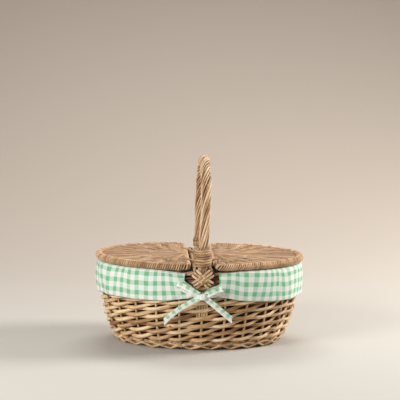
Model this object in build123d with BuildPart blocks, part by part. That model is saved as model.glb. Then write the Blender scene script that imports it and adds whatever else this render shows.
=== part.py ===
from build123d import *
import math
import os

# Oval willow picnic basket: a woven body, a fixed arched handle from front to back, a centre bar
# and two half-oval lids that hinge on it, with a cloth liner, a turned-over cuff and two bows.
# Origin at the middle of the underside. +X runs along the oval, -Y is the front, +Z is up.

# Driving dimensions, in millimetres.
WALL_HALF_LENGTH = 192.0
WALL_HALF_DEPTH = 143.0
FOOT_TOP = 14.0
WALL_TOP = 134.0
WALE_TOP = 142.0
BORDER_TOP = 151.5
CUFF_TOP = 153.0
CUFF_BOTTOM = 97.0
LID_LOW = 153.3
LID_THICKNESS = 13.4
LID_HALF_LENGTH = 199.0
LID_HALF_DEPTH = 148.0
LID_BORDER_WIDTH = 14.0
HINGE_X = 26.0
HINGE_Z = 160.0
BAR_ROD_X = 14.5
BAR_ROD_RADIUS = 3.3
BAR_ROD_REACH = 142.0
HANDLE_Y = 138.0
HANDLE_SPRING_Z = 207.0
HANDLE_RADIUS = 10.0
HANDLE_CORE_RADIUS = 5.0
COLLAR_RADIUS = 17.5
COLLAR_LOW = 159.2
COLLAR_HIGH = 196.0
STAKE_COUNT = 24
STAKE_RADIUS = 1.9
SHELL_THICKNESS = 3.2
FIT_GAP = 0.3
CLOTH = 1.2
RIBBON_WIDTH = 12.0

# How far the wall has drawn in from its widest oval, as (height, inset).
WALL_PROFILE = [(0, 42), (7, 35), (16, 27.5), (30, 20), (45, 14.5), (65, 9.5), (90, 4.5), (108, 2), (144, 0)]

STAKE_INSET = SHELL_THICKNESS + FIT_GAP + STAKE_RADIUS
INNER_SHELL_INSET = STAKE_INSET + STAKE_RADIUS + FIT_GAP
LINER_INSET = 13.8
FAR = 400.0

os.makedirs("parts", exist_ok=True)


def write(builder, name):
    """Label a finished piece and write it as its own file."""
    builder.part.label = name
    export_step(builder.part, f"parts/{name}.step")


def wall_inset(height):
    """Inset of the outer wall face at a height, straight between the profile's points."""
    for (low, inset_low), (high, inset_high) in zip(WALL_PROFILE, WALL_PROFILE[1:]):
        if height <= high:
            return inset_low + (inset_high - inset_low) * (height - low) / (high - low)
    return WALL_PROFILE[-1][1]


def heights_between(low, high):
    """The two end heights and every profile height between them."""
    return [low] + [z for z, _ in WALL_PROFILE if low < z < high] + [high]


def wall_oval(height, inset):
    """Oval section of the wall, drawn in from its outer face by an inset."""
    drawn_in = wall_inset(height) + inset
    with BuildSketch(Plane.XY.offset(height)) as section:
        Ellipse(WALL_HALF_LENGTH - drawn_in, WALL_HALF_DEPTH - drawn_in)
    return section.sketch


def wall_solid(low, high, inset):
    """Sections of a solid that follows the wall, for a loft."""
    return [wall_oval(z, inset) for z in heights_between(low, high)]


def even_angles(count):
    """Oval angles at equal arc lengths, the first at the front centre."""
    steps = 3600
    angles = [-math.pi / 2 + 2 * math.pi * i / steps for i in range(steps + 1)]
    travelled = [0.0]
    for angle in angles[:-1]:
        speed = math.hypot(WALL_HALF_LENGTH * math.sin(angle), WALL_HALF_DEPTH * math.cos(angle))
        travelled.append(travelled[-1] + speed)
    even = []
    index = 0
    for number in range(count):
        while travelled[index] < travelled[-1] * number / count:
            index += 1
        even.append(angles[index])
    return even


def rod_sections(angle, low, high, radius, shift=0.0):
    """Round sections of an upright rod between the two woven faces of the wall."""
    sections = []
    for z in heights_between(low, high):
        drawn_in = wall_inset(z) + STAKE_INSET
        x = (WALL_HALF_LENGTH - drawn_in) * math.cos(angle) + shift
        y = (WALL_HALF_DEPTH - drawn_in) * math.sin(angle)
        with BuildSketch(Plane.XY.offset(z)) as section:
            with Locations((x, y)):
                Circle(radius)
        sections.append(section.sketch)
    return sections


def oval(height, half_length, half_depth):
    """Full oval at a height."""
    with BuildSketch(Plane.XY.offset(height)) as section:
        Ellipse(half_length, half_depth)
    return section.sketch


def half_oval(height, half_length, half_depth, straight_x, side, corner=0.0):
    """Half of an oval, cut straight at a distance from the middle, on one side of it."""
    with BuildSketch(Plane.XY.offset(height)) as section:
        Ellipse(half_length, half_depth)
        with Locations((side * (straight_x + FAR / 2), 0)):
            Rectangle(FAR, FAR, mode=Mode.INTERSECT)
        if corner:
            fillet(section.vertices(), corner)
    return section.sketch


# ---- Base: two layers of crossed sticks between two woven plates, inside a wale foot ----
BASE_HALF_LENGTH = 126.0
BASE_HALF_DEPTH = 80.0
PLATE = 3.0
STICK_RADIUS = 1.7
LONG_STICK_Z = PLATE + FIT_GAP + STICK_RADIUS
CROSS_STICK_Z = LONG_STICK_Z + 2 * STICK_RADIUS + FIT_GAP
UPPER_PLATE_Z = CROSS_STICK_Z + STICK_RADIUS + FIT_GAP
LONG_STICKS = 5
LONG_STICK_SPACING = 22.0
CROSS_STICKS = 9
CROSS_STICK_SPACING = 24.0

with BuildPart() as base_weave_under:
    extrude(oval(0, BASE_HALF_LENGTH, BASE_HALF_DEPTH), amount=PLATE)
write(base_weave_under, "base_weave_under")

with BuildPart() as base_weave_upper:
    extrude(oval(UPPER_PLATE_Z, BASE_HALF_LENGTH, BASE_HALF_DEPTH), amount=PLATE)
write(base_weave_upper, "base_weave_upper")

with BuildPart() as base_sticks_long:
    for index in range(LONG_STICKS):
        y = (index - (LONG_STICKS - 1) / 2) * LONG_STICK_SPACING
        reach = BASE_HALF_LENGTH * math.sqrt(1 - (y / BASE_HALF_DEPTH) ** 2) - 3
        with BuildSketch(Plane.YZ.offset(-reach)):
            with Locations((y, LONG_STICK_Z)):
                Circle(STICK_RADIUS)
        extrude(amount=2 * reach)
write(base_sticks_long, "base_sticks_long")

with BuildPart() as base_sticks_cross:
    for index in range(CROSS_STICKS):
        x = (index - (CROSS_STICKS - 1) / 2) * CROSS_STICK_SPACING
        reach = BASE_HALF_DEPTH * math.sqrt(1 - (x / BASE_HALF_LENGTH) ** 2) - 3
        with BuildSketch(Plane.XZ.offset(-reach)):
            with Locations((x, CROSS_STICK_Z)):
                Circle(STICK_RADIUS)
        extrude(amount=2 * reach)
write(base_sticks_cross, "base_sticks_cross")

with BuildPart() as foot_wale:
    loft(wall_solid(0, FOOT_TOP, 0), ruled=True)
    base_room = oval(0, BASE_HALF_LENGTH + FIT_GAP, BASE_HALF_DEPTH + FIT_GAP)
    extrude(base_room, amount=FOOT_TOP, mode=Mode.SUBTRACT)
write(foot_wale, "foot_wale")

# ---- Wall: stakes and handle legs between an outer and an inner woven face ----
WEAVE_LOW = FOOT_TOP + FIT_GAP
WEAVE_HIGH = WALL_TOP - FIT_GAP

with BuildPart() as wall_weave_outer:
    loft(wall_solid(WEAVE_LOW, WALL_TOP, 0), ruled=True)
    loft(wall_solid(WEAVE_LOW, WALL_TOP, SHELL_THICKNESS), ruled=True, mode=Mode.SUBTRACT)
write(wall_weave_outer, "wall_weave_outer")

with BuildPart() as wall_weave_inner:
    inner_face_inset = INNER_SHELL_INSET + SHELL_THICKNESS
    loft(wall_solid(WEAVE_LOW, WALL_TOP, INNER_SHELL_INSET), ruled=True)
    loft(wall_solid(WEAVE_LOW, WALL_TOP, inner_face_inset), ruled=True, mode=Mode.SUBTRACT)
write(wall_weave_inner, "wall_weave_inner")

with BuildPart() as stakes:
    for stake_angle in even_angles(STAKE_COUNT):
        loft(rod_sections(stake_angle, WEAVE_LOW, WEAVE_HIGH, STAKE_RADIUS), ruled=True)
write(stakes, "stakes")

LEG_LOW = 60.0
LEG_SHIFT = 7.0
LEG_RADIUS = 1.8

with BuildPart() as handle_legs:
    for face_angle in (-math.pi / 2, math.pi / 2):
        for shift in (-LEG_SHIFT, LEG_SHIFT):
            loft(rod_sections(face_angle, LEG_LOW, WEAVE_HIGH, LEG_RADIUS, shift), ruled=True)
write(handle_legs, "handle_legs")

# ---- Top of the wall: a wale and the rolled border, both let in around the handle's ends ----
CORE_HOLE_RADIUS = HANDLE_CORE_RADIUS + FIT_GAP
WALE_OUT = (193.5, 144.5)
WALE_IN = (180.5, 131.5)
BORDER_OUT = (195.0, 146.0)
BORDER_IN = (179.0, 130.0)
BORDER_ROUND = 4.0


def handle_holes(height):
    """Round holes at the two handle ends."""
    with BuildSketch(Plane.XY.offset(height)) as section:
        with Locations((0, -HANDLE_Y), (0, HANDLE_Y)):
            Circle(CORE_HOLE_RADIUS)
    return section.sketch


with BuildPart() as top_wale:
    extrude(oval(WALL_TOP + FIT_GAP, *WALE_OUT), amount=WALE_TOP - WALL_TOP - FIT_GAP)
    extrude(oval(WALL_TOP, *WALE_IN), amount=WALE_TOP, mode=Mode.SUBTRACT)
    extrude(handle_holes(WALL_TOP), amount=WALE_TOP, mode=Mode.SUBTRACT)
write(top_wale, "top_wale")

with BuildPart() as rim_border:
    extrude(oval(WALE_TOP + FIT_GAP, *BORDER_OUT), amount=BORDER_TOP - WALE_TOP - FIT_GAP)
    extrude(oval(WALE_TOP, *BORDER_IN), amount=WALL_TOP, mode=Mode.SUBTRACT)
    fillet(rim_border.edges().group_by(Axis.Z)[-1], BORDER_ROUND)
    extrude(handle_holes(WALE_TOP), amount=WALL_TOP, mode=Mode.SUBTRACT)
write(rim_border, "rim_border")

# ---- Handle: a bent core, its rope-twisted cover, a wrapped collar and a lashing at each end ----
WRAP_LOW = BORDER_TOP + FIT_GAP
CORE_LOW = WALL_TOP + FIT_GAP


def handle_path(low):
    """Up one side, over in a half circle and down the other side, in the plane across the oval."""
    with BuildLine(Plane.YZ) as path:
        Line((-HANDLE_Y, low), (-HANDLE_Y, HANDLE_SPRING_Z))
        ThreePointArc(
            (-HANDLE_Y, HANDLE_SPRING_Z), (0, HANDLE_SPRING_Z + HANDLE_Y), (HANDLE_Y, HANDLE_SPRING_Z)
        )
        Line((HANDLE_Y, HANDLE_SPRING_Z), (HANDLE_Y, low))
    return path.line


with BuildPart() as handle_bow:
    with BuildSketch(Plane((0, -HANDLE_Y, CORE_LOW))):
        Circle(HANDLE_CORE_RADIUS)
    sweep(path=handle_path(CORE_LOW))
write(handle_bow, "handle_bow")

with BuildPart() as handle_wrap:
    with BuildSketch(Plane((0, -HANDLE_Y, WRAP_LOW))):
        Circle(HANDLE_RADIUS)
        Circle(HANDLE_CORE_RADIUS + FIT_GAP / 2, mode=Mode.SUBTRACT)
    sweep(path=handle_path(WRAP_LOW))
write(handle_wrap, "handle_wrap")

LASHING_LOW = 125.0
LASHING_HIGH = 153.0
LASHING_HALF_WIDTH = 22.5
LASHING_STRAND = 9.0
LASHING_DEPTH = 5.0
LASHING_Y = BORDER_OUT[1] + 3 * FIT_GAP

for place, side in (("front", -1), ("back", 1)):
    with BuildPart() as collar:
        with BuildSketch(Plane((0, side * HANDLE_Y, COLLAR_LOW))):
            Circle(COLLAR_RADIUS)
            Circle(HANDLE_RADIUS + FIT_GAP, mode=Mode.SUBTRACT)
        extrude(amount=COLLAR_HIGH - COLLAR_LOW)
        chamfer(collar.edges().filter_by(GeomType.CIRCLE).sort_by(SortBy.RADIUS)[-2:], 2)
    write(collar, f"handle_collar_{place}")

    middle_z = (LASHING_LOW + LASHING_HIGH) / 2
    rise = LASHING_HIGH - LASHING_LOW
    lean = math.degrees(math.atan2(rise - LASHING_STRAND, 2 * LASHING_HALF_WIDTH - LASHING_STRAND))
    reach = math.hypot(rise, 2 * LASHING_HALF_WIDTH) - LASHING_STRAND
    with BuildPart() as lashing:
        with BuildSketch(Plane((0, side * LASHING_Y, middle_z), x_dir=(1, 0, 0), z_dir=(0, side, 0))):
            for turn in (lean, -lean):
                SlotOverall(reach, LASHING_STRAND, rotation=turn)
        extrude(amount=LASHING_DEPTH)
    write(lashing, f"cross_lashing_{place}")

# ---- Centre bar: two rods past the handle, woven between, with four hinge loops ----
BAR_ROD_Z = BORDER_TOP + FIT_GAP + BAR_ROD_RADIUS
BAR_WEAVE_HALF_WIDTH = BAR_ROD_X - BAR_ROD_RADIUS - FIT_GAP
BAR_WEAVE_HALF_LENGTH = HANDLE_Y - COLLAR_RADIUS - 2
BAR_WEAVE_THICKNESS = 5.0
LOOP_Y = 70.0
LOOP_WIDTH = 14.0
LOOP_INNER = 4.1
LOOP_OUTER = 6.5
HINGE_ROD_RADIUS = 3.5
LOOP_ROOM = 1.5

with BuildPart() as centre_bar_rods:
    with BuildSketch(Plane.XZ.offset(-BAR_ROD_REACH)):
        with Locations((-BAR_ROD_X, BAR_ROD_Z), (BAR_ROD_X, BAR_ROD_Z)):
            Circle(BAR_ROD_RADIUS)
    extrude(amount=2 * BAR_ROD_REACH)
write(centre_bar_rods, "centre_bar_rods")

with BuildPart() as centre_bar_weave:
    with BuildSketch(Plane.XY.offset(BAR_ROD_Z - BAR_WEAVE_THICKNESS / 2)):
        Rectangle(2 * BAR_WEAVE_HALF_WIDTH, 2 * BAR_WEAVE_HALF_LENGTH)
        notch_x = BAR_ROD_X - LOOP_OUTER - LOOP_ROOM
        notch_middle = notch_x + LOOP_WIDTH / 2
        with Locations(*[(sx * notch_middle, sy * LOOP_Y) for sx in (-1, 1) for sy in (-1, 1)]):
            Rectangle(LOOP_WIDTH, LOOP_WIDTH + 2 * LOOP_ROOM, mode=Mode.SUBTRACT)
    extrude(amount=BAR_WEAVE_THICKNESS)
write(centre_bar_weave, "centre_bar_weave")

LOOP_SPAN = math.hypot(HINGE_X - BAR_ROD_X, HINGE_Z - BAR_ROD_Z)
LOOP_MIDDLE_X = (HINGE_X + BAR_ROD_X) / 2
LOOP_MIDDLE_Z = (HINGE_Z + BAR_ROD_Z) / 2
LOOP_LEAN = math.degrees(math.atan2(HINGE_Z - BAR_ROD_Z, HINGE_X - BAR_ROD_X))

for lid_name, side in (("left", -1), ("right", 1)):
    for place, end in (("front", -1), ("back", 1)):
        loop_place = (side * LOOP_MIDDLE_X, end * LOOP_Y - LOOP_WIDTH / 2, LOOP_MIDDLE_Z)
        lean = side * LOOP_LEAN
        with BuildPart() as hinge_loop:
            with BuildSketch(Plane(loop_place, x_dir=(1, 0, 0), z_dir=(0, -1, 0))):
                SlotCenterToCenter(LOOP_SPAN, 2 * LOOP_OUTER, rotation=lean)
                SlotCenterToCenter(LOOP_SPAN, 2 * LOOP_INNER, rotation=lean, mode=Mode.SUBTRACT)
            extrude(amount=-LOOP_WIDTH)
        write(hinge_loop, f"hinge_loop_{lid_name}_{place}")

# ---- Lids: a hinge rod and a bent bow inside a wrapped border, a fan of ribs in a woven panel ----
LID_HIGH = LID_LOW + LID_THICKNESS
LID_STRAIGHT = HINGE_X - LID_BORDER_WIDTH / 2
PANEL_STRAIGHT = HINGE_X + LID_BORDER_WIDTH / 2 + FIT_GAP
PANEL_HALF_LENGTH = LID_HALF_LENGTH - LID_BORDER_WIDTH - FIT_GAP
PANEL_HALF_DEPTH = LID_HALF_DEPTH - LID_BORDER_WIDTH - FIT_GAP
PANEL_PLATE = 2.4
RIB_RADIUS = 1.6
RIB_Z = HINGE_Z
PANEL_UNDER_Z = RIB_Z - RIB_RADIUS - FIT_GAP - PANEL_PLATE
PANEL_TOP_Z = RIB_Z + RIB_RADIUS + FIT_GAP
RIB_ANGLES = [-75, -56, -37, -18, 0, 18, 37, 56, 75]
RIB_START = 16.0
RIB_SHORT = 4.0
HOOP_SCALES = (0.42, 0.60)
HOOP_WIDTH = 3.0
HOOP_HEIGHT = 1.4
BOW_SECTION = 7.0
BOW_STRAIGHT = HINGE_X + HINGE_ROD_RADIUS + 1.5
CHANNEL = BOW_SECTION + 2 * FIT_GAP
HINGE_ROD_REACH = 138.0
LID_CORNER = 9.0
LID_ROUND = 4.5


def half_oval_band(height, mid_length, mid_depth, width, straight_x, side):
    """Flat band that follows the curved edge of a half oval."""
    outer = half_oval(height, mid_length + width / 2, mid_depth + width / 2, straight_x, side)
    inner = half_oval(height, mid_length - width / 2, mid_depth - width / 2, straight_x - 1, side)
    return outer - inner


def bow_band(height, section, side):
    """Section of the lid's bent bow, or of the channel around it."""
    mid_length = LID_HALF_LENGTH - LID_BORDER_WIDTH / 2
    mid_depth = LID_HALF_DEPTH - LID_BORDER_WIDTH / 2
    return half_oval_band(height, mid_length, mid_depth, section, BOW_STRAIGHT, side)


def rib_reach(angle):
    """Length of a rib from the middle of the straight side to the edge of the panel."""
    along = (math.cos(angle) / PANEL_HALF_LENGTH) ** 2 + (math.sin(angle) / PANEL_HALF_DEPTH) ** 2
    offset = PANEL_STRAIGHT * math.cos(angle) / PANEL_HALF_LENGTH**2
    short = (PANEL_STRAIGHT / PANEL_HALF_LENGTH) ** 2 - 1
    return (-offset + math.sqrt(offset**2 - along * short)) / along


for lid_name, side in (("left", -1), ("right", 1)):
    with BuildPart() as lid_border:
        lid_outline = half_oval(LID_LOW, LID_HALF_LENGTH, LID_HALF_DEPTH, LID_STRAIGHT, side, LID_CORNER)
        extrude(lid_outline, amount=LID_THICKNESS)
        fillet(lid_border.edges().group_by(Axis.Z)[-1] + lid_border.edges().group_by(Axis.Z)[0], LID_ROUND)
        inner_opening = half_oval(
            LID_LOW, PANEL_HALF_LENGTH + FIT_GAP, PANEL_HALF_DEPTH + FIT_GAP, PANEL_STRAIGHT - FIT_GAP, side
        )
        extrude(inner_opening, amount=LID_THICKNESS, mode=Mode.SUBTRACT)
        extrude(bow_band(HINGE_Z - CHANNEL / 2, CHANNEL, side), amount=CHANNEL, mode=Mode.SUBTRACT)
        with BuildSketch(Plane.XZ.offset(-HINGE_ROD_REACH - FIT_GAP)):
            with Locations((side * HINGE_X, HINGE_Z)):
                Circle(HINGE_ROD_RADIUS + FIT_GAP)
        extrude(amount=2 * (HINGE_ROD_REACH + FIT_GAP), mode=Mode.SUBTRACT)
        with BuildSketch(Plane.XY.offset(LID_LOW)):
            with Locations((side * HINGE_X, -LOOP_Y), (side * HINGE_X, LOOP_Y)):
                Rectangle(LID_BORDER_WIDTH + 1, LOOP_WIDTH + 2 * LOOP_ROOM)
        extrude(amount=LID_THICKNESS, mode=Mode.SUBTRACT)
    write(lid_border, f"{lid_name}_lid_border")

    with BuildPart() as lid_bow:
        extrude(bow_band(HINGE_Z - BOW_SECTION / 2, BOW_SECTION, side), amount=BOW_SECTION)
    write(lid_bow, f"{lid_name}_lid_bow")

    with BuildPart() as hinge_rod:
        with BuildSketch(Plane.XZ.offset(-HINGE_ROD_REACH)):
            with Locations((side * HINGE_X, HINGE_Z)):
                Circle(HINGE_ROD_RADIUS)
        extrude(amount=2 * HINGE_ROD_REACH)
    write(hinge_rod, f"{lid_name}_hinge_rod")

    for face, panel_z in (("under", PANEL_UNDER_Z), ("top", PANEL_TOP_Z)):
        with BuildPart() as lid_weave:
            panel_outline = half_oval(panel_z, PANEL_HALF_LENGTH, PANEL_HALF_DEPTH, PANEL_STRAIGHT, side)
            extrude(panel_outline, amount=PANEL_PLATE)
        write(lid_weave, f"{lid_name}_lid_weave_{face}")

    with BuildPart() as lid_ribs:
        for rib_angle in RIB_ANGLES:
            lean = math.radians(rib_angle)
            away = (side * math.cos(lean), math.sin(lean), 0)
            start = (side * PANEL_STRAIGHT + RIB_START * away[0], RIB_START * away[1], RIB_Z)
            with BuildSketch(Plane(start, z_dir=away)):
                Circle(RIB_RADIUS)
            extrude(amount=rib_reach(lean) - RIB_START - RIB_SHORT)
    write(lid_ribs, f"{lid_name}_lid_ribs")

    with BuildPart() as lid_hoops:
        hoop_z = PANEL_TOP_Z + PANEL_PLATE
        for scale in HOOP_SCALES:
            hoop_size = (LID_HALF_LENGTH * scale, LID_HALF_DEPTH * scale)
            extrude(half_oval_band(hoop_z, *hoop_size, HOOP_WIDTH, PANEL_STRAIGHT, side), amount=HOOP_HEIGHT)
    write(lid_hoops, f"{lid_name}_lid_hoops")

# ---- Cloth: a liner inside, and a cuff turned over the border in two halves ----
LINER_LOW = UPPER_PLATE_Z + PLATE + FIT_GAP
LINER_HIGH = 144.0
CUFF_OUT = (198.0, 149.0)
CUFF_FLANGE_IN = (178.5, 129.5)
CUFF_OPENING_TOP = 31.0
CUFF_OPENING_FOOT = 9.5
CUFF_OPENING_KNEE = (30.0, 128.0)
CUFF_OPENING_NECK = 114.0

with BuildPart() as liner:
    loft(wall_solid(LINER_LOW, LINER_HIGH, LINER_INSET), ruled=True)
    loft(wall_solid(LINER_LOW + CLOTH, LINER_HIGH, LINER_INSET + CLOTH), ruled=True, mode=Mode.SUBTRACT)
write(liner, "liner")

for cuff_name, side in (("left", -1), ("right", 1)):
    with BuildPart() as cuff:
        extrude(oval(CUFF_BOTTOM, *CUFF_OUT), amount=CUFF_TOP - CUFF_BOTTOM)
        skirt_inner = (CUFF_OUT[0] - 2 * CLOTH, CUFF_OUT[1] - 2 * CLOTH)
        extrude(oval(CUFF_BOTTOM, *skirt_inner), amount=CUFF_TOP - CLOTH - CUFF_BOTTOM, mode=Mode.SUBTRACT)
        extrude(oval(CUFF_BOTTOM, *CUFF_FLANGE_IN), amount=CUFF_TOP, mode=Mode.SUBTRACT)
        with BuildSketch(Plane.XZ.offset(-FAR)):
            with BuildLine():
                Polyline(
                    (-side * FAR, 0),
                    (side * CUFF_OPENING_FOOT, 0),
                    (side * CUFF_OPENING_FOOT, CUFF_OPENING_NECK),
                    (side * CUFF_OPENING_KNEE[0], CUFF_OPENING_KNEE[1]),
                    (side * CUFF_OPENING_TOP, CUFF_TOP + 1),
                    (-side * FAR, CUFF_TOP + 1),
                    close=True,
                )
            make_face()
        extrude(amount=2 * FAR, mode=Mode.SUBTRACT)
    write(cuff, f"cuff_{cuff_name}")

# ---- Bows: at the front and back, a knot, two loops and two tails of ribbon ----
KNOT_Z = 108.5
KNOT_SIZE = (18.0, 9.0, 13.0)
KNOT_Y = 156.0
KNOT_ROUND = 3.5
LOOP_THICKNESS = 5.0
TAIL_THICKNESS = 1.2
RIBBON_ENDS = {
    "left_loop": ((-13.0, 158.0, 115.0), (-45.0, 153.5, 134.0), LOOP_THICKNESS),
    "right_loop": ((13.0, 158.0, 113.5), (43.0, 153.5, 125.0), LOOP_THICKNESS),
    "left_tail": ((-13.2, 155.5, 99.5), (-75.0, 142.0, 59.0), TAIL_THICKNESS),
    "right_tail": ((13.2, 155.5, 98.5), (62.0, 145.0, 65.0), TAIL_THICKNESS),
}


def ribbon_plane(start, end):
    """Plane whose x runs along a straight stretch of ribbon and whose normal faces outward."""
    run = Vector(*end) - Vector(*start)
    across = Vector(-run.Z, 0, run.X).normalized()
    return Plane(Vector(*start), x_dir=run, z_dir=run.cross(across))


for place, side in (("front", -1), ("back", 1)):
    with BuildPart() as knot:
        with BuildSketch(Plane((0, side * KNOT_Y, KNOT_Z - KNOT_SIZE[2] / 2))):
            RectangleRounded(KNOT_SIZE[0], KNOT_SIZE[1], KNOT_ROUND)
        extrude(amount=KNOT_SIZE[2])
    write(knot, f"bow_{place}_knot")
    for ribbon_name, (start, end, thickness) in RIBBON_ENDS.items():
        mirrored = [(x, side * y, z) for x, y, z in (start, end)]
        length = (Vector(*end) - Vector(*start)).length
        with BuildPart() as ribbon:
            with BuildSketch(ribbon_plane(*mirrored)):
                with Locations((length / 2, 0)):
                    Rectangle(length, RIBBON_WIDTH)
            extrude(amount=thickness / 2, both=True)
        write(ribbon, f"bow_{place}_{ribbon_name}")
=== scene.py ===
"""Oval willow picnic basket: rods, wrapped rims, twisted handle, checked cloth and bows around the frame."""

import math

import bpy
import numpy as np
from mathutils import Matrix, Vector


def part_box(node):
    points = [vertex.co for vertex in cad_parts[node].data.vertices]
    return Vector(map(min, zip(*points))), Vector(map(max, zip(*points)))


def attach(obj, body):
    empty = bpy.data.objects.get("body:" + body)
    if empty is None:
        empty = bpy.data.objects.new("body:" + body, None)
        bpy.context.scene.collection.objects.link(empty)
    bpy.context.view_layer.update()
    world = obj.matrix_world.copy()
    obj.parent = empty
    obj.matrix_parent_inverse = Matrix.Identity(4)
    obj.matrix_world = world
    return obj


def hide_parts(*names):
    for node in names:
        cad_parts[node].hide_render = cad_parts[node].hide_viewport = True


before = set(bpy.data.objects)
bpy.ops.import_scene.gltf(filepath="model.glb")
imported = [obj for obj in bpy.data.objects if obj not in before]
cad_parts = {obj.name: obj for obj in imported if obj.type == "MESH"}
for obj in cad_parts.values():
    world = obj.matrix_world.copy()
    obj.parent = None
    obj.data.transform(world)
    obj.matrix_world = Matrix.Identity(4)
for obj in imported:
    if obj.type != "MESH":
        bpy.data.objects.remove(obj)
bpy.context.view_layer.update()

MM = 0.001
TAU = 2 * math.pi
rng = np.random.default_rng(159)

# ---- places taken from the frame ----
WALL_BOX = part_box("wall_weave_outer")
WALE_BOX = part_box("top_wale")
BORDER_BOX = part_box("rim_border")
LINER_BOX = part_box("liner")
COLLAR_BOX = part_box("handle_collar_front")
WRAP_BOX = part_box("handle_wrap")
BAR_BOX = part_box("centre_bar_rods")
BAR_WEAVE_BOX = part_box("centre_bar_weave")
LID_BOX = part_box("right_lid_border")
HINGE_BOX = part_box("right_hinge_rod")
LASHING_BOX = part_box("cross_lashing_front")
KNOT_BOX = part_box("bow_front_knot")
BASE_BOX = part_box("base_weave_under")

WALL_TOP_INSET = 0.35 * MM
HALF_LENGTH = WALL_BOX[1].x + WALL_TOP_INSET
HALF_DEPTH = WALL_BOX[1].y + WALL_TOP_INSET
HANDLE_Y = (COLLAR_BOX[0].y + COLLAR_BOX[1].y) / 2
HANDLE_TOP = WRAP_BOX[1].z
HINGE_X = (HINGE_BOX[0].x + HINGE_BOX[1].x) / 2
HINGE_Z = (HINGE_BOX[0].z + HINGE_BOX[1].z) / 2
LID_LENGTH = LID_BOX[1].x + 0.5 * MM
LID_DEPTH = LID_BOX[1].y + 1.0 * MM

# How far the wall draws in below its widest oval, as (height, inset) in millimetres.
WALL_PROFILE = [(0, 42), (7, 35), (16, 27.5), (30, 20), (45, 14.5), (65, 9.5), (90, 4.5), (108, 2), (144, 0)]


# ---- mesh building ----
def smooth_through(points, count):
    """Evenly spaced points on a smooth curve through a few points."""
    p = np.asarray(points, float)
    ends = np.vstack([2 * p[0] - p[1], p, 2 * p[-1] - p[-2]])
    dense = []
    for i in range(len(p) - 1):
        a, b, c, d = ends[i : i + 4]
        t = np.linspace(0, 1, 40, endpoint=False)[:, None]
        dense.append(
            0.5 * (2 * b + (c - a) * t + (2 * a - 5 * b + 4 * c - d) * t**2 + (3 * b - a - 3 * c + d) * t**3)
        )
    dense.append(p[-1:])
    return resample(np.vstack(dense), count)


def lengths_along(points):
    """Distance along a line at each of its points."""
    return np.concatenate([[0], np.cumsum(np.linalg.norm(np.diff(points, axis=0), axis=1))])


def resample(points, count, closed=False):
    """The same polyline with evenly spaced points."""
    p = np.asarray(points, float)
    if closed:
        p = np.vstack([p, p[:1]])
    along = lengths_along(p)
    where = np.linspace(0, along[-1], count, endpoint=not closed)
    return np.stack([np.interp(where, along, p[:, k]) for k in range(p.shape[1])], axis=1)


def unit(v):
    return v / np.maximum(np.linalg.norm(v, axis=-1, keepdims=True), 1e-12)


def xyz(x, y, z):
    """Points from three coordinates, each one number or an array."""
    return np.stack(np.broadcast_arrays(x, y, z), axis=-1)


def share_of(value):
    """The value kept between 0 and 1."""
    return np.clip(value, 0, 1)


def tangents(points, closed=False):
    if closed:
        return unit(np.roll(points, -1, axis=0) - np.roll(points, 1, axis=0))
    return unit(np.gradient(points, axis=0))


def make_mesh(name, vertices, faces, material, attributes, body):
    """One smooth-shaded mesh object from arrays of quads and triangles, riding on a body."""
    mesh = bpy.data.meshes.new(name)
    corners = np.concatenate([f.ravel() for f in faces])
    sizes = np.concatenate([np.full(len(f), f.shape[1]) for f in faces])
    starts = np.concatenate([[0], np.cumsum(sizes)[:-1]])
    mesh.vertices.add(len(vertices))
    mesh.vertices.foreach_set("co", np.asarray(vertices, np.float32).ravel())
    mesh.loops.add(len(corners))
    mesh.loops.foreach_set("vertex_index", corners.astype(np.int32))
    mesh.polygons.add(len(sizes))
    mesh.polygons.foreach_set("loop_start", starts.astype(np.int32))
    mesh.polygons.foreach_set("loop_total", sizes.astype(np.int32))
    mesh.polygons.foreach_set("use_smooth", np.ones(len(sizes), bool))
    for label, values in attributes.items():
        values = np.asarray(values, np.float32)
        kind = "FLOAT_VECTOR" if values.ndim == 2 else "FLOAT"
        layer = mesh.attributes.new(label, kind, "POINT")
        layer.data.foreach_set("vector" if values.ndim == 2 else "value", values.ravel())
    mesh.update(calc_edges=True)
    mesh.validate()
    mesh.materials.append(material)
    piece = bpy.data.objects.new(name, mesh)
    bpy.context.scene.collection.objects.link(piece)
    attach(piece, body)
    return piece


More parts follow.
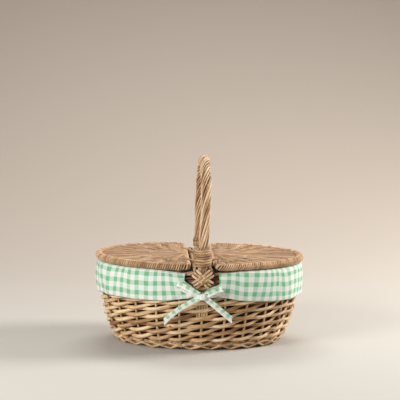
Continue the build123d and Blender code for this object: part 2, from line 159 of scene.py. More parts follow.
class Rods:
    """Many round rods gathered into one mesh, each with its own tone and its grain along its length."""

    def __init__(self, sides=8):
        self.sides = sides
        self.vertices = []
        self.quads = []
        self.triangles = []
        self.grain = []
        self.tone = []
        self.count = 0

    def add(self, points, radius, guide=(0, 0, 1), flat=1.0, closed=False, tone=None):
        """A rod along points; guide gives the direction across which flat squeezes it."""
        p = np.asarray(points, float)
        n = len(p)
        r = np.broadcast_to(np.asarray(radius, float), (n,))
        t = tangents(p, closed)
        g = np.broadcast_to(np.asarray(guide, float), (n, 3))
        side = unit(np.cross(t, g))
        up = np.cross(side, t)
        turn = np.arange(self.sides) * TAU / self.sides
        ring = np.cos(turn)[None, :, None] * side[:, None, :]
        ring = ring + flat * np.sin(turn)[None, :, None] * up[:, None, :]
        body = p[:, None, :] + r[:, None, None] * ring
        along = lengths_along(p)
        grain = np.empty((n, self.sides, 3))
        grain[:, :, 0] = along[:, None]
        grain[:, :, 1] = r[:, None] * np.cos(turn)[None, :]
        grain[:, :, 2] = r[:, None] * np.sin(turn)[None, :]
        index = self.count + np.arange(n * self.sides).reshape(n, self.sides)
        after = np.roll(index, -1, axis=0) if closed else index[1:]
        here = index if closed else index[:-1]
        corners = [here, np.roll(here, -1, axis=1), np.roll(after, -1, axis=1), after]
        self.quads.append(np.stack(corners, axis=-1).reshape(-1, 4))
        self.vertices.append(body.reshape(-1, 3))
        self.grain.append(grain.reshape(-1, 3))
        tone = rng.random() if tone is None else tone
        self.tone.append(np.full(n * self.sides, tone))
        self.count += n * self.sides
        if not closed:
            for row, outward, turned in ((0, -1, True), (n - 1, 1, False)):
                tip = p[row] + outward * 0.35 * r[row] * t[row]
                ring_index = index[row]
                following = np.roll(ring_index, -1)
                pair = (following, ring_index) if turned else (ring_index, following)
                self.triangles.append(np.stack([*pair, np.full(self.sides, self.count)], axis=-1))
                self.vertices.append(tip[None])
                self.grain.append(grain[row].mean(0)[None])
                self.tone.append(np.array([tone]))
                self.count += 1

    def build(self, name, material, slot, *nodes, body="basket"):
        """The mesh object, with the nodes that it replaces; slot is not used."""
        faces = [np.concatenate(self.quads)]
        if self.triangles:
            faces.append(np.concatenate(self.triangles))
        attributes = {"grain": np.concatenate(self.grain), "tone": np.concatenate(self.tone)}
        piece = make_mesh(name, np.concatenate(self.vertices), faces, material, attributes, body)
        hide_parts(*nodes)


def grid_faces(rows, columns):
    index = np.arange(rows * columns).reshape(rows, columns)
    return np.stack([index[:-1, :-1], index[:-1, 1:], index[1:, 1:], index[1:, :-1]], axis=-1).reshape(-1, 4)


def wander(count, scale, strength):
    """A smooth random line of a given length scale, in points."""
    knots = rng.normal(size=max(3, int(count / scale) + 3))
    x = np.linspace(0, len(knots) - 1.001, count)
    i = x.astype(int)
    f = x - i
    f = f * f * (3 - 2 * f)
    return strength * (knots[i] * (1 - f) + knots[np.minimum(i + 1, len(knots) - 1)] * f)


# ---- materials ----
class Nodes:
    """Short names for building a node tree."""

    def __init__(self, name):
        self.material = bpy.data.materials.new(name)
        self.material.use_nodes = True
        self.tree = self.material.node_tree
        self.shader = self.tree.nodes["Principled BSDF"]

    def add(self, kind, inputs=None, **settings):
        node = self.tree.nodes.new(kind)
        for key, value in settings.items():
            setattr(node, key, value)
        for key, value in (inputs or {}).items():
            if isinstance(value, bpy.types.NodeSocket):
                self.tree.links.new(value, node.inputs[key])
            else:
                node.inputs[key].default_value = value
        return node

    def attribute(self, name, output):
        return self.add("ShaderNodeAttribute", attribute_name=name).outputs[output]

    def math(self, operation, a, b=0.0, clamp=False):
        return self.add("ShaderNodeMath", {0: a, 1: b}, operation=operation, use_clamp=clamp).outputs[0]

    def times(self, a, b, clamp=False):
        return self.math("MULTIPLY", a, b, clamp)

    def plus(self, a, b, clamp=False):
        return self.math("ADD", a, b, clamp)

    def minus(self, a, b):
        return self.math("SUBTRACT", a, b)

    def vector(self, operation, a, b):
        return self.add("ShaderNodeVectorMath", {0: a, 1: b}, operation=operation).outputs[0]

    def stretched_noise(self, place, scale, *settings, offset=None):
        """Noise on a place scaled by a number or by three, and then moved by an offset."""
        scale = scale if isinstance(scale, tuple) else (scale, scale, scale)
        place = self.vector("MULTIPLY", place, scale)
        if offset is not None:
            place = self.vector("ADD", place, offset)
        return self.noise(place, 1.0, *settings)

    def noise(self, vector, scale, detail=3.0, roughness=0.55):
        inputs = {"Vector": vector, "Scale": scale, "Detail": detail, "Roughness": roughness}
        return self.add("ShaderNodeTexNoise", inputs).outputs["Fac"]

    def ramp(self, value, stops):
        node = self.add("ShaderNodeValToRGB", {"Fac": value})
        elements = node.color_ramp.elements
        while len(elements) < len(stops):
            elements.new(0.5)
        for element, (place, colour) in zip(elements, stops):
            element.position = place
            element.color = (*colour, 1)
        return node.outputs["Color"]

    def mix(self, factor, a, b, blend="MIX"):
        """Blend of two colours, each three numbers or a socket."""
        a, b = ((*c, 1.0) if isinstance(c, tuple) else c for c in (a, b))
        inputs = {"Factor": factor, "A": a, "B": b}
        node = self.tree.nodes.new("ShaderNodeMix")
        node.data_type = "RGBA"
        node.blend_type = blend
        for key, value in inputs.items():
            socket = next(s for s in node.inputs if s.name == key and s.enabled)
            if isinstance(value, bpy.types.NodeSocket):
                self.tree.links.new(value, socket)
            else:
                socket.default_value = value
        return next(s for s in node.outputs if s.enabled)

    def span(self, value, low, high):
        return self.add("ShaderNodeMapRange", {"Value": value, "To Min": low, "To Max": high}).outputs[0]

    def finish(self, colour=None, roughness=None, bump=None, **constants):
        for key, value in (("Base Color", colour), ("Roughness", roughness), ("Normal", bump)):
            if value is not None:
                self.tree.links.new(value, self.shader.inputs[key])
        for key, value in constants.items():
            self.shader.inputs[key.replace("_", " ")].default_value = value
        return self.material

    def bump(self, height, strength, distance):
        inputs = {"Height": height, "Strength": strength, "Distance": distance}
        return self.add("ShaderNodeBump", inputs).outputs["Normal"]


def willow(name, shade, mid, light, contrast=1.0):
    """Peeled willow: streaks along each rod, a tone for each rod, darker marks and a satin skin."""
    n = Nodes(name)
    tone = n.attribute("tone", "Fac")
    grain = n.attribute("grain", "Vector")
    shift = n.times(tone, 7.3)
    offset = n.add("ShaderNodeCombineXYZ", {0: shift, 1: shift, 2: shift}).outputs[0]
    streak = n.stretched_noise(grain, (22.0, 620.0, 620.0), 4.0, 0.6, offset=offset)
    blotch = n.stretched_noise(grain, (38.0, 110.0, 110.0), 2.0, offset=offset)
    mark = n.stretched_noise(grain, (90.0, 240.0, 240.0), 1.0, offset=offset)
    rod_part = n.times(n.minus(tone, 0.5), 0.5 * contrast)
    streak_part = n.times(n.minus(streak, 0.5), 1.0 * contrast)
    blotch_part = n.times(n.minus(blotch, 0.5), 0.9 * contrast)
    level = n.plus(n.plus(rod_part, streak_part), n.plus(blotch_part, 0.5), clamp=True)
    colour = n.ramp(level, [(0.12, shade), (0.48, mid), (0.88, light)])
    spots = n.times(n.minus(mark, 0.66), 6.0, clamp=True)
    marked = n.mix(spots, colour, tuple(c * 0.45 for c in shade))
    roughness = n.span(blotch, 0.42, 0.66)
    ridge = n.plus(streak, n.times(mark, 0.6))
    skin = n.bump(ridge, 0.45, 0.0005)
    return n.finish(
        marked, roughness, skin, Specular_IOR_Level=0.42, Coat_Weight=0.06, Coat_Roughness=0.4
    )


CHECK = (17.2 * MM, 18.4 * MM)
CHECK_SHIFT = (9.1 * MM, 13.4 * MM)
WHITE = (0.84, 0.81, 0.80)
MID_GREEN = (0.43, 0.68, 0.51)
DARK_GREEN = (0.15, 0.44, 0.235)


def gingham(name, checks, shifts, pale=0.0, white=WHITE):
    """Woven check: coloured bands both ways, half tone where they cross white, and a thread bump."""
    n = Nodes(name)
    place = n.attribute("cloth", "Vector")
    split = n.add("ShaderNodeSeparateXYZ", {0: place}).outputs
    bands = []
    threads = []
    for axis, (check, shift) in enumerate(zip(checks, shifts)):
        centred = n.math("DIVIDE", n.minus(split[axis], shift - check / 4), check)
        part = n.math("FRACT", centred)
        rise = n.times(part, 26.0, clamp=True)
        fall = n.times(n.minus(0.5, part), 26.0, clamp=True)
        bands.append(n.times(rise, fall))
        wave = n.math("SINE", n.times(split[axis], TAU / (0.62 * MM)))
        threads.append(n.times(n.plus(wave, 1.0), 0.5))
    crossing = n.times(bands[0], bands[1])
    either = n.math("MAXIMUM", bands[0], bands[1])
    fine = n.minus(n.times(threads[0], threads[1]), 0.25)
    flecks = n.stretched_noise(place, 900.0, 3.0)
    fade = n.stretched_noise(place, 22.0, 2.0)
    half = n.plus(either, n.times(fine, 0.25))
    half = n.times(half, n.span(fade, 1.0, 0.8), clamp=True)
    mid = tuple(m + (w - m) * pale for m, w in zip(MID_GREEN, white))
    dark = tuple(d + (m - d) * pale for d, m in zip(DARK_GREEN, MID_GREEN))
    toned = n.mix(half, white, mid)
    full = n.mix(n.times(crossing, n.span(flecks, 0.72, 1.15), clamp=True), toned, dark)
    shaded = n.mix(n.span(flecks, 0.0, 0.10), full, (0.35, 0.36, 0.33))
    height = n.plus(fine, n.times(flecks, 0.5))
    roughness = n.span(flecks, 0.74, 0.92)
    return n.finish(
        shaded, roughness, n.bump(height, 0.5, 0.00025),
        Sheen_Weight=0.25, Sheen_Roughness=0.5, Specular_IOR_Level=0.25,
    )


def plain_cloth(name, colour):
    """Plain weave with a fine thread bump."""
    n = Nodes(name)
    place = n.attribute("cloth", "Vector")
    flecks = n.stretched_noise(place, 900.0, 3.0)
    soft = n.stretched_noise(place, 40.0, 2.0)
    level = n.plus(n.times(flecks, 0.6), n.times(soft, 0.4))
    toned = n.ramp(level, [(0.25, tuple(c * 0.6 for c in colour)), (0.75, colour)])
    return n.finish(toned, n.span(flecks, 0.8, 0.95), n.bump(flecks, 0.5, 0.0003), Specular_IOR_Level=0.15)


def pale_stage(name, floor, wall):
    """Matt paper, paler on the floor than up the wall behind. The wall's pinker hue is the paper's own; paler
    at the front and darker towards the back is painted light.
    """
    n = Nodes(name)
    place = n.add("ShaderNodeTexCoord").outputs["Object"]
    mottled = n.noise(place, 3.0, 4.0)
    depth = n.add("ShaderNodeSeparateXYZ", {0: place}).outputs[1]
    # Floor and wall colours blend with depth: painted light, paler in front of the basket and darker towards
    # the back.
    reach = {"Value": depth, "From Min": -0.55, "From Max": 1.7}
    back = n.add("ShaderNodeMapRange", reach, interpolation_type="SMOOTHSTEP")
    blended = n.mix(back.outputs[0], floor, wall)
    tint = n.mix(n.span(mottled, 0.0, 0.08), blended, tuple(c * 0.9 for c in wall))
    return n.finish(tint, n.span(mottled, 0.8, 0.95), Specular_IOR_Level=0.1)


WALL_WILLOW = willow("wall_willow_skin", (0.25, 0.12, 0.04), (0.57, 0.36, 0.18), (0.86, 0.65, 0.41), 1.2)
STAKE_WILLOW = willow("stake_willow_skin", (0.25, 0.14, 0.06), (0.55, 0.37, 0.20), (0.78, 0.58, 0.37))
HANDLE_WILLOW = willow(
    "handle_willow_skin", (0.22, 0.12, 0.05), (0.52, 0.335, 0.18), (0.82, 0.61, 0.40), 1.25
)
LID_WILLOW = willow(
    "lid_willow_skin", (0.13, 0.062, 0.024), (0.38, 0.218, 0.105), (0.62, 0.41, 0.235), 1.15
)
WRAP_WILLOW = willow("wrap_willow_skin", (0.18, 0.085, 0.032), (0.47, 0.275, 0.135), (0.74, 0.50, 0.30), 1.2)
# Willow darker than the wall's for the wale and border: painted shade, as they sit in the shadow under the
# lids.
RIM_WILLOW_PAINTED_SHADE = willow("rim_willow_painted_shade", (0.05, 0.026, 0.011), (0.25, 0.155, 0.078), (0.60, 0.41, 0.24), 1.4)
# Near-black willow for rod cores: painted shade that shows in the gaps between the strands and wraps over
# them.
CORE_WILLOW_PAINTED_SHADE = willow("core_willow_painted_shade", (0.05, 0.028, 0.014), (0.10, 0.06, 0.03), (0.17, 0.10, 0.05))
CLOTH = gingham("gingham_cotton", CHECK, CHECK_SHIFT)
# A dark brown sheet behind the lining: painted shade for the gaps in the wall weave.
PAINTED_SHADE_SHEET = plain_cloth("liner_painted_shade_sheet", (0.11, 0.052, 0.020))
RIBBON = gingham(
    "gingham_ribbon", (13.8 * MM, 13.8 * MM), (0.0, 2.4 * MM), pale=0.55, white=(0.96, 0.95, 0.92)
)

# ---- wall surface ----
PROFILE_Z = np.linspace(0, WALL_PROFILE[-1][0], 301)
PROFILE_INSET = np.interp(PROFILE_Z, *zip(*WALL_PROFILE))
for _ in range(60):
    PROFILE_INSET[1:-1] = (PROFILE_INSET[:-2] + 2 * PROFILE_INSET[1:-1] + PROFILE_INSET[2:]) / 4
PROFILE_RISE = np.concatenate([[0], np.cumsum(np.hypot(np.diff(PROFILE_Z), np.diff(PROFILE_INSET)))])
STAKES = 24


def oval_speed(angle):
    return np.hypot(HALF_LENGTH * np.sin(angle), HALF_DEPTH * np.cos(angle))


ROUND_ANGLE = np.linspace(-TAU / 4, TAU * 3 / 4, 4801)
ROUND_ALONG = np.concatenate([[0], np.cumsum(oval_speed((ROUND_ANGLE[1:] + ROUND_ANGLE[:-1]) / 2))])
ROUND_ALONG = ROUND_ALONG * TAU / 4800
PERIMETER = ROUND_ALONG[-1]


def angle_at(along):
    """Oval angle at an arc length counted from the front centre towards +X."""
    turns = np.floor(np.asarray(along) / PERIMETER)
    return np.interp(along - turns * PERIMETER, ROUND_ALONG, ROUND_ANGLE) + turns * TAU


def oval_point(angle, outward, z):
    """Point at an outward distance from the widest oval of the wall, at a height."""
    c, s = np.cos(angle), np.sin(angle)
    normal = unit(xyz(c / HALF_LENGTH, s / HALF_DEPTH, 0))
    base = xyz(HALF_LENGTH * c, HALF_DEPTH * s, 0)
    return base + normal * np.asarray(outward)[..., None] + xyz(0 * c, 0, z)


def wall_point(stake, rise, outward):
    """Point on the wall at a stake number, a distance up the wall's slope (mm) and out from its face (mm)."""
    z = np.interp(rise, PROFILE_RISE, PROFILE_Z)
    inset = np.interp(rise, PROFILE_RISE, PROFILE_INSET)
    slope = np.gradient(PROFILE_INSET, PROFILE_Z)
    lean = np.interp(rise, PROFILE_RISE, slope)
    norm = np.hypot(1, lean)
    angle = angle_at(stake * PERIMETER / STAKES)
    return oval_point(angle, (-inset + outward / norm) * MM, (z + outward * lean / norm) * MM)


def wall_normal(stake):
    """Outward direction of the oval at a stake number."""
    angle = angle_at(stake * PERIMETER / STAKES)
    return unit(xyz(np.cos(angle) / HALF_LENGTH, np.sin(angle) / HALF_DEPTH, 0))


RISE_AT = {label: float(np.interp(z, PROFILE_Z, PROFILE_RISE)) for label, z in (("leg", 60), ("top", 135))}
WHOLE_ROUND = np.arange(0, STAKES * 12) / 12.0
STAKE_INSET = 4.9
STAKE_FORWARD = 1.3
STAKE_RADIUS = 2.2


def build_stakes():
    rods = Rods(8)
    rise = np.linspace(2, RISE_AT["top"] + 6, 40)
    for k in range(STAKES):
        wobble = wander(40, 14, 0.012)
        points = wall_point(k + wobble, rise, STAKE_FORWARD - STAKE_INSET)
        rods.add(points, np.linspace(STAKE_RADIUS * 1.12, STAKE_RADIUS * 0.9, 40) * MM, guide=(1, 0.3, 0))
    rods.build("wall_stakes", STAKE_WILLOW, "stake_willow", "stakes")

    legs = Rods(8)
    rise = np.linspace(RISE_AT["leg"], RISE_AT["top"] + 6, 30)
    for face in (0, STAKES / 2):
        for shift in (-0.21, -0.11, 0.11, 0.21):
            points = wall_point(face + shift + wander(30, 14, 0.008), rise, STAKE_FORWARD - STAKE_INSET)
            legs.add(points, np.linspace(1.9, 2.3, 30) * MM, guide=(1, 0.3, 0))
    legs.build("handle_leg_rods", STAKE_WILLOW, "stake_willow", "handle_legs")


def build_wall_weave():
    """Randing: every rod goes before one stake and behind the next, and climbs one step at each."""
    rods = Rods(8)
    low = 12.5
    high = RISE_AT["top"] + 1
    steps = 18
    per_step = 10
    weights = np.linspace(1.08, 0.92, steps)
    levels = low + np.concatenate([[0], np.cumsum(weights)]) * (high - low) / weights.sum()
    for k in range(STAKES):
        start = -0.9 if k % 2 else -0.35
        s = np.arange(start, steps - 0.1, 1 / per_step)
        rise = np.interp(s, np.arange(steps + 1), levels)
        rise = np.where(s < 0, low + s * 2.0, rise)
        swing = np.cos(math.pi * s)
        swing = np.sign(swing) * np.abs(swing) ** 0.85
        size = np.interp(s, [0, steps], [3.85, 3.4]) * (1 + rng.normal() * 0.05)
        size = size * np.clip(0.97 - 0.14 * np.sin(TAU * (k + s) / STAKES), 0, 1.04)
        outward = -STAKE_INSET + np.where(swing > 0, 4.9, 4.2) * swing
        rise = rise - 0.45 * np.cos(math.pi * s) * share_of(s) + wander(len(s), 9, 0.35)
        stake = k + s + wander(len(s), 20, 0.01)
        points = wall_point(stake, rise, outward + wander(len(s), 11, 0.2))
        thick = size * MM * (1 + wander(len(s), 12, 0.05)) * (0.95 + 0.02 * swing)
        thick = thick * np.interp(s, [-1, 0.2, 1.6], [0.62, 0.7, 1])
        rods.add(points, thick, guide=wall_normal(stake), flat=0.80)
    rods.build("wall_randing", WALL_WILLOW, "wall_willow", "wall_weave_outer", "wall_weave_inner")


def build_foot():
    """Hidden rings, and two rods that zigzag: the lower dips between the stakes, the upper at them."""
    rods = Rods(8)
    s = WHOLE_ROUND
    for rise, out, size in ((3.2, -6.4, 2.9), (9.0, -7.6, 2.8), (13.0, -5.5, 2.5)):
        rods.add(wall_point(s, rise + wander(len(s), 16, 0.3), out), size * MM, closed=True)
    zigzag = np.abs(2 * (s % 1) - 1)
    for rise, climb, out, beat, size in (
        (9.3, 5.0, 1.2, 0.7, 2.1),
        (12.2, -2.6, -2.4, -0.8, 2.3),
    ):
        swing = beat * np.cos(math.pi * s)
        points = wall_point(s, rise + climb * (2 * zigzag - 1) + wander(len(s), 16, 0.3), out + swing)
        rods.add(points, size * MM, closed=True)
    rods.build("foot_waling", WALL_WILLOW, "wall_willow", "foot_wale")


def build_rim():
    """Three-rod wale and a bundled border at the top of the wall."""
    # Wale and border both take the darker rim willow, which paints the shade under the lids.
    wale = Rods(8)
    s = WHOLE_ROUND
    angle = angle_at(s * PERIMETER / STAKES)
    wale_low = WALE_BOX[0].z / MM + 1.5
    for row in range(3):
        wave = np.cos(TAU * (s + row) / 3)
        outward = (-4.6 + 4.4 * wave) * MM
        height = (wale_low + 2.6 * row + 1.4 * np.sin(TAU * (s + row) / 3)) * MM
        wale.add(oval_point(angle, outward, height), 2.2 * MM, closed=True)
    wale.build("top_waling", RIM_WILLOW_PAINTED_SHADE, "wall_willow", "top_wale")

    border = Rods(8)
    strands = 5
    middle = (-7.6, (BORDER_BOX[0].z + BORDER_BOX[1].z) / 2 / MM)
    for k in range(strands):
        turn = TAU * (s * 18 / STAKES + k / strands)
        outward = (middle[0] + 3.4 * np.cos(turn)) * MM
        height = (middle[1] + 2.3 * np.sin(turn)) * MM
        border.add(oval_point(angle, outward, height), 2.2 * MM, closed=True)
    border.build("rolled_border", RIM_WILLOW_PAINTED_SHADE, "wall_willow", "rim_border")


def build_base():
    """Crossed sticks with rods woven round them in ovals, seen from under the basket."""
    length = BASE_BOX[1].x - 1 * MM
    depth = BASE_BOX[1].y - 1 * MM
    sticks = Rods(8)
    middle = 5.6 * MM
    for k in range(-2, 3):
        y = k * 22 * MM
        reach = length * math.sqrt(1 - (y / depth) ** 2)
        sticks.add(np.linspace((-reach, y, middle), (reach, y, middle), 12), 2.2 * MM)
    sticks.build("base_long_rods", STAKE_WILLOW, "stake_willow", "base_sticks_long")
    sticks = Rods(8)
    for k in range(-4, 5):
        x = k * 24 * MM
        reach = depth * math.sqrt(1 - (x / length) ** 2)
        sticks.add(np.linspace((x, -reach, middle + 4.4 * MM), (x, reach, middle + 4.4 * MM), 10), 2.0 * MM)
    sticks.build("base_cross_rods", STAKE_WILLOW, "stake_willow", "base_sticks_cross")

    weave = Rods(6)
    turn = np.linspace(0, TAU, 144, endpoint=False)
    rings = 13
    for row in range(rings):
        inward = (row + 0.5) * 5.6 * MM
        beat = np.cos(14 * turn + math.pi * (row % 2))
        for face, height in ((0, 2.6), (1, 10.2)):
            level = (height + 1.0 * beat * (1 - 2 * face)) * MM
            ring = xyz((length - inward) * np.cos(turn), (depth - inward) * np.sin(turn), level)
            weave.add(ring, 2.35 * MM, closed=True, flat=0.72)
    weave.build("base_oval_weave", WALL_WILLOW, "wall_willow", "base_weave_under", "base_weave_upper")


# ---- handle ----
ARCH_RADIUS = -HANDLE_Y
ARCH_LOW = BORDER_BOX[0].z


def arch_path(low, count):
    """Centre line of the handle: up at the front, over, and down at the back."""
    spring = HANDLE_TOP - 10 * MM - ARCH_RADIUS
    turn = np.linspace(math.pi, 0, 80)
    over = xyz(0, ARCH_RADIUS * np.cos(turn), spring + ARCH_RADIUS * np.sin(turn))
    ends = [np.array([[0, -ARCH_RADIUS, low]]), over, np.array([[0, ARCH_RADIUS, low]])]
    path = resample(np.vstack(ends), count)
    share = (path[:, 2] - low) / (HANDLE_TOP - low)
    front = np.interp(share, [0, 0.12, 0.27, 0.49, 0.74, 0.94, 1], [0, -0.6, 0.2, 2.8, 5.0, 5.4, 5.0])
    back = np.interp(share, [0, 0.27, 0.49, 0.74, 0.94, 1], [1.6, 3.4, 4.4, 5.0, 5.2, 5.0])
    path[:, 0] += np.where(path[:, 1] < 0, front, back) * MM
    for _ in range(20):
        path[1:-1, 0] = (path[:-2, 0] + 2 * path[1:-1, 0] + path[2:, 0]) / 4
    return path


def build_handle():
    count = 220
    path = arch_path(ARCH_LOW, count)
    along = lengths_along(path)
    t = tangents(path)
    across = np.tile([1.0, 0, 0], (count, 1))
    across = unit(across - (across * t).sum(1, keepdims=True) * t)
    other = np.cross(t, across)
    # The core rod is dark willow: painted shade in the gaps between the twisted rods.
    core = Rods(12)
    core.add(path, 5.8 * MM, guide=(1, 0, 0))
    core.build("handle_core_rod", CORE_WILLOW_PAINTED_SHADE, "handle_willow", "handle_bow")

    strands = Rods(8)
    number = 11
    from_end = np.minimum(along, along[-1] - along)
    reach = np.interp(from_end, [0, 0.05, 0.13, 0.26], [6.6, 6.6, 7.9, 8.1])
    rate = np.interp(from_end, [0, 0.10, 0.24, 0.32], [4.2, 4.8, 7.6, 9.0])
    phase = np.concatenate([[0], np.cumsum(np.diff(along) * (rate[1:] + rate[:-1]) / 2)])
    for k in range(number):
        size = 1.86 * (1 + rng.normal() * 0.13)
        turn = TAU * (k / number + phase) + wander(count, 40, 0.05)
        out = (reach + wander(count, 30, 0.25)) * MM
        points = path + out[:, None] * (np.cos(turn)[:, None] * across + np.sin(turn)[:, None] * other)
        strands.add(points, size * np.interp(from_end, [0.15, 0.3], [1, 0.9]) * MM, guide=across)
    strands.build("handle_twisted_rods", HANDLE_WILLOW, "handle_willow", "handle_wrap")


COLLAR_STEPS = 28


def build_collar(place, side):
    """Close turns of willow round the foot of one handle arm."""
    rods = Rods(8)
    low = COLLAR_BOX[0].z + 2.6 * MM
    turns, widest, rod_radius, inner = (7, 13.9, 2.15, 10.8) if side < 0 else (4, 9.4, 1.5, 7.6)
    high = low + turns * 4.55 * MM
    centre = side * -HANDLE_Y
    t = np.linspace(0, 1, turns * COLLAR_STEPS)
    turn = TAU * turns * t + 0.6
    height = low + (high - low) * t + 1.0 * MM * np.sin(turn) + wander(len(t), 20, 0.6 * MM)
    shift = 2.4 * MM if side > 0 else 0
    reach = (widest - 1.0 * t + wander(len(t), 20, 0.45)) * MM
    points = xyz(shift + reach * np.cos(turn), centre + reach * np.sin(turn), height)
    for k in range(turns):
        part = slice(k * COLLAR_STEPS, (k + 1) * COLLAR_STEPS + 2)
        size = (rod_radius + rng.normal() * 0.10) * MM
        rods.add(points[part], size, tone=0.6 * rng.random())
    # The rods under the turns get a dark tone: painted shade in the gaps between the turns.
    for k in range(12):
        turn = TAU * k / 12
        reach = np.linspace(inner, inner - 1.2, 10) * MM
        rising = np.linspace(low, high + 1.2 * MM, 10)
        foot = xyz(shift + reach * math.cos(turn), centre + reach * math.sin(turn), rising)
        rods.add(foot, 1.9 * MM, guide=(1, 0, 0), tone=0.2)
    rods.build(f"collar_turns_{place}", HANDLE_WILLOW, "handle_willow", f"handle_collar_{place}")


def build_lashing(place, side):
    """Crossed bands of doubled willow over the border, under the collar."""
    rods = Rods(8)
    low = LASHING_BOX[0].z - 1.5 * MM
    high = LASHING_BOX[1].z + 1.5 * MM
    middle_z = (low + high) / 2
    face = side * abs(LASHING_BOX[1].y)
    half = 17.0 * MM
    rise = (high - low) / 2 - 1.0 * MM
    spacing = 5.3
    for band, (dx, dz) in enumerate(((half, rise), (half, -rise))):
        run = unit(np.array([dx, 0, dz]))
        sideways = np.array([-run[2], 0, run[0]])
        reach = math.hypot(half, rise)
        crossing = spacing * MM / math.sin(2 * math.atan2(rise, half))
        for k in (-1, 0, 1):
            t = np.linspace(-1, 1, 40) * (0.93 - 0.05 * abs(k))
            weave = np.cos(math.pi * (t * reach / crossing + k + band)) * share_of(1.6 - 2.2 * np.abs(t))
            depth = (2.6 + 1.9 * weave - 1.4 * t**2) * MM
            spread = k * spacing * MM * (0.94 + 0.30 * t**2)
            points = np.array([0, face, middle_z]) + t[:, None] * np.array([dx, 0, dz])
            points = points + sideways * spread[:, None]
            points[:, 1] += side * depth - side * 5.5 * MM * share_of(np.abs(t) - 0.76) / 0.20
            size = (2.45 - 0.6 * share_of(np.abs(t) - 0.5)) * MM
            rods.add(points, size, guide=(0, 1, 0), tone=0.5 + 0.4 * rng.random())
    rods.build(f"crossed_lashing_{place}", HANDLE_WILLOW, "handle_willow", f"cross_lashing_{place}")


# ---- centre bar and hinges ----
BAR_X = BAR_BOX[1].x - 3.3 * MM
BAR_Z = (BAR_BOX[0].z + BAR_BOX[1].z) / 2


def build_centre_bar():
    """Two sticks beside the handle's ends, and a strip of weave between them."""
    rods = Rods(10)
    for side in (-1, 1):
        y = np.linspace(BAR_BOX[0].y, BAR_BOX[1].y, 40)
        x = np.full(40, side * BAR_X) + wander(40, 20, 0.2 * MM)
        points = xyz(x, y, BAR_Z)
        rods.add(points, 3.2 * MM)
    rods.build("centre_bar_sticks", HANDLE_WILLOW, "lid_willow", "centre_bar_rods")

    weft = Rods(6)
    reach = BAR_WEAVE_BOX[1].y - 1.5 * MM
    lines = 58
    for k in range(lines):
        y = -reach + 2 * reach * (k + 0.5) / lines
        t = np.linspace(-1, 1, 15)
        beat = (1 if k % 2 else -1) * np.sin(math.pi * t)
        points = xyz(t * (BAR_X - 2.2 * MM), y, BAR_Z + 2.3 * MM * beat)
        weft.add(points, 1.9 * MM, guide=(0, 1, 0), flat=0.8)
    stick = np.linspace((0, -reach, BAR_Z), (0, reach, BAR_Z), 30)
    weft.add(stick, 2.4 * MM)
    weft.build("centre_bar_strip", LID_WILLOW, "lid_willow", "centre_bar_weave")


def build_hinge_loop(lid, side, place):
    """Five turns of fine willow round the bar's rod and the lid's hinge rod."""
    low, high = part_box(f"hinge_loop_{lid}_{place}")
    rods = Rods(6)
    run = np.array([side * (HINGE_X - BAR_X), 0, HINGE_Z - BAR_Z])
    span = np.linalg.norm(run)
    run = run / span
    up = np.array([-run[2] * side, 0, run[0] * side])
    radius = 5.3 * MM
    turns = 5
    around = np.linspace(0, TAU * turns, turns * 24)
    flat_x = np.cos(around) * radius + np.clip(np.cos(around) * 4, -1, 1) * span / 2
    flat_z = np.sin(around) * radius
    middle = np.array([side * (HINGE_X + BAR_X) / 2, 0, (HINGE_Z + BAR_Z) / 2])
    y = np.linspace(low.y + 1.3 * MM, high.y - 1.3 * MM, len(around))
    points = middle + flat_x[:, None] * run + flat_z[:, None] * up
    points[:, 1] = y
    rods.add(points, 1.25 * MM, guide=(0, 1, 0), tone=0.5)
    rods.build(f"hinge_binding_{lid}_{place}", LID_WILLOW, "lid_willow", f"hinge_loop_{lid}_{place}")


# ---- lids ----
BORDER_WIDTH = 13.4 * MM
HOOPS = (0.42, 0.62)
HINGE_LOOP_Y = 70 * MM
HINGE_LOOP_REACH = 9.0 * MM
FAN_HEIGHT = 3.4
UNDER_FAN_SHIFT = 3.5 * MM
# The fan's zones from the hinge side out: start, end, number of rods, rod radius, bend and bundles.
FAN_ZONES = (
    (0.0, 0.45, 48, 3.2, 0.03, 15),
    (0.38, 0.68, 76, 2.8, 0.05, 17),
    (0.60, 1.0, 112, 2.6, 0.085, 25),
)


def past_hinge(points):
    """From 0 on a lid's straight side to 1 a little way past its hinge rod."""
    return share_of((np.abs(points[:, 0]) - HINGE_X - 1 * MM) / (9 * MM))


def lid_outline(inset, count, side):
    """Closed D-shaped line inside a lid's outer edge, with rounded corners."""
    length = LID_LENGTH - inset
    depth = LID_DEPTH - inset
    straight = HINGE_X - BORDER_WIDTH / 2 + inset
    corner = math.acos(straight / length)
    turn = np.linspace(-corner, corner, 400)
    arc = xyz(length * np.cos(turn), depth * np.sin(turn), 0)
    line = np.linspace(arc[-1], arc[0], 200)[1:-1]
    loop = resample(np.vstack([arc, line]), 700, closed=True)
    for _ in range(90):
        loop = (np.roll(loop, 1, axis=0) + 2 * loop + np.roll(loop, -1, axis=0)) / 4
    loop = resample(loop, count, closed=True)
    loop[:, 0] *= side
    return loop


def lid_lift(points):
    """How much a lid rises towards its tip, and bulges a little along its back edge."""
    share = share_of(np.abs(points[..., 0]) / LID_LENGTH)
    back = share_of(points[..., 1] / LID_DEPTH)
    return (3.0 * share**3 + 3.4 * np.sin(math.pi * share) * back) * MM


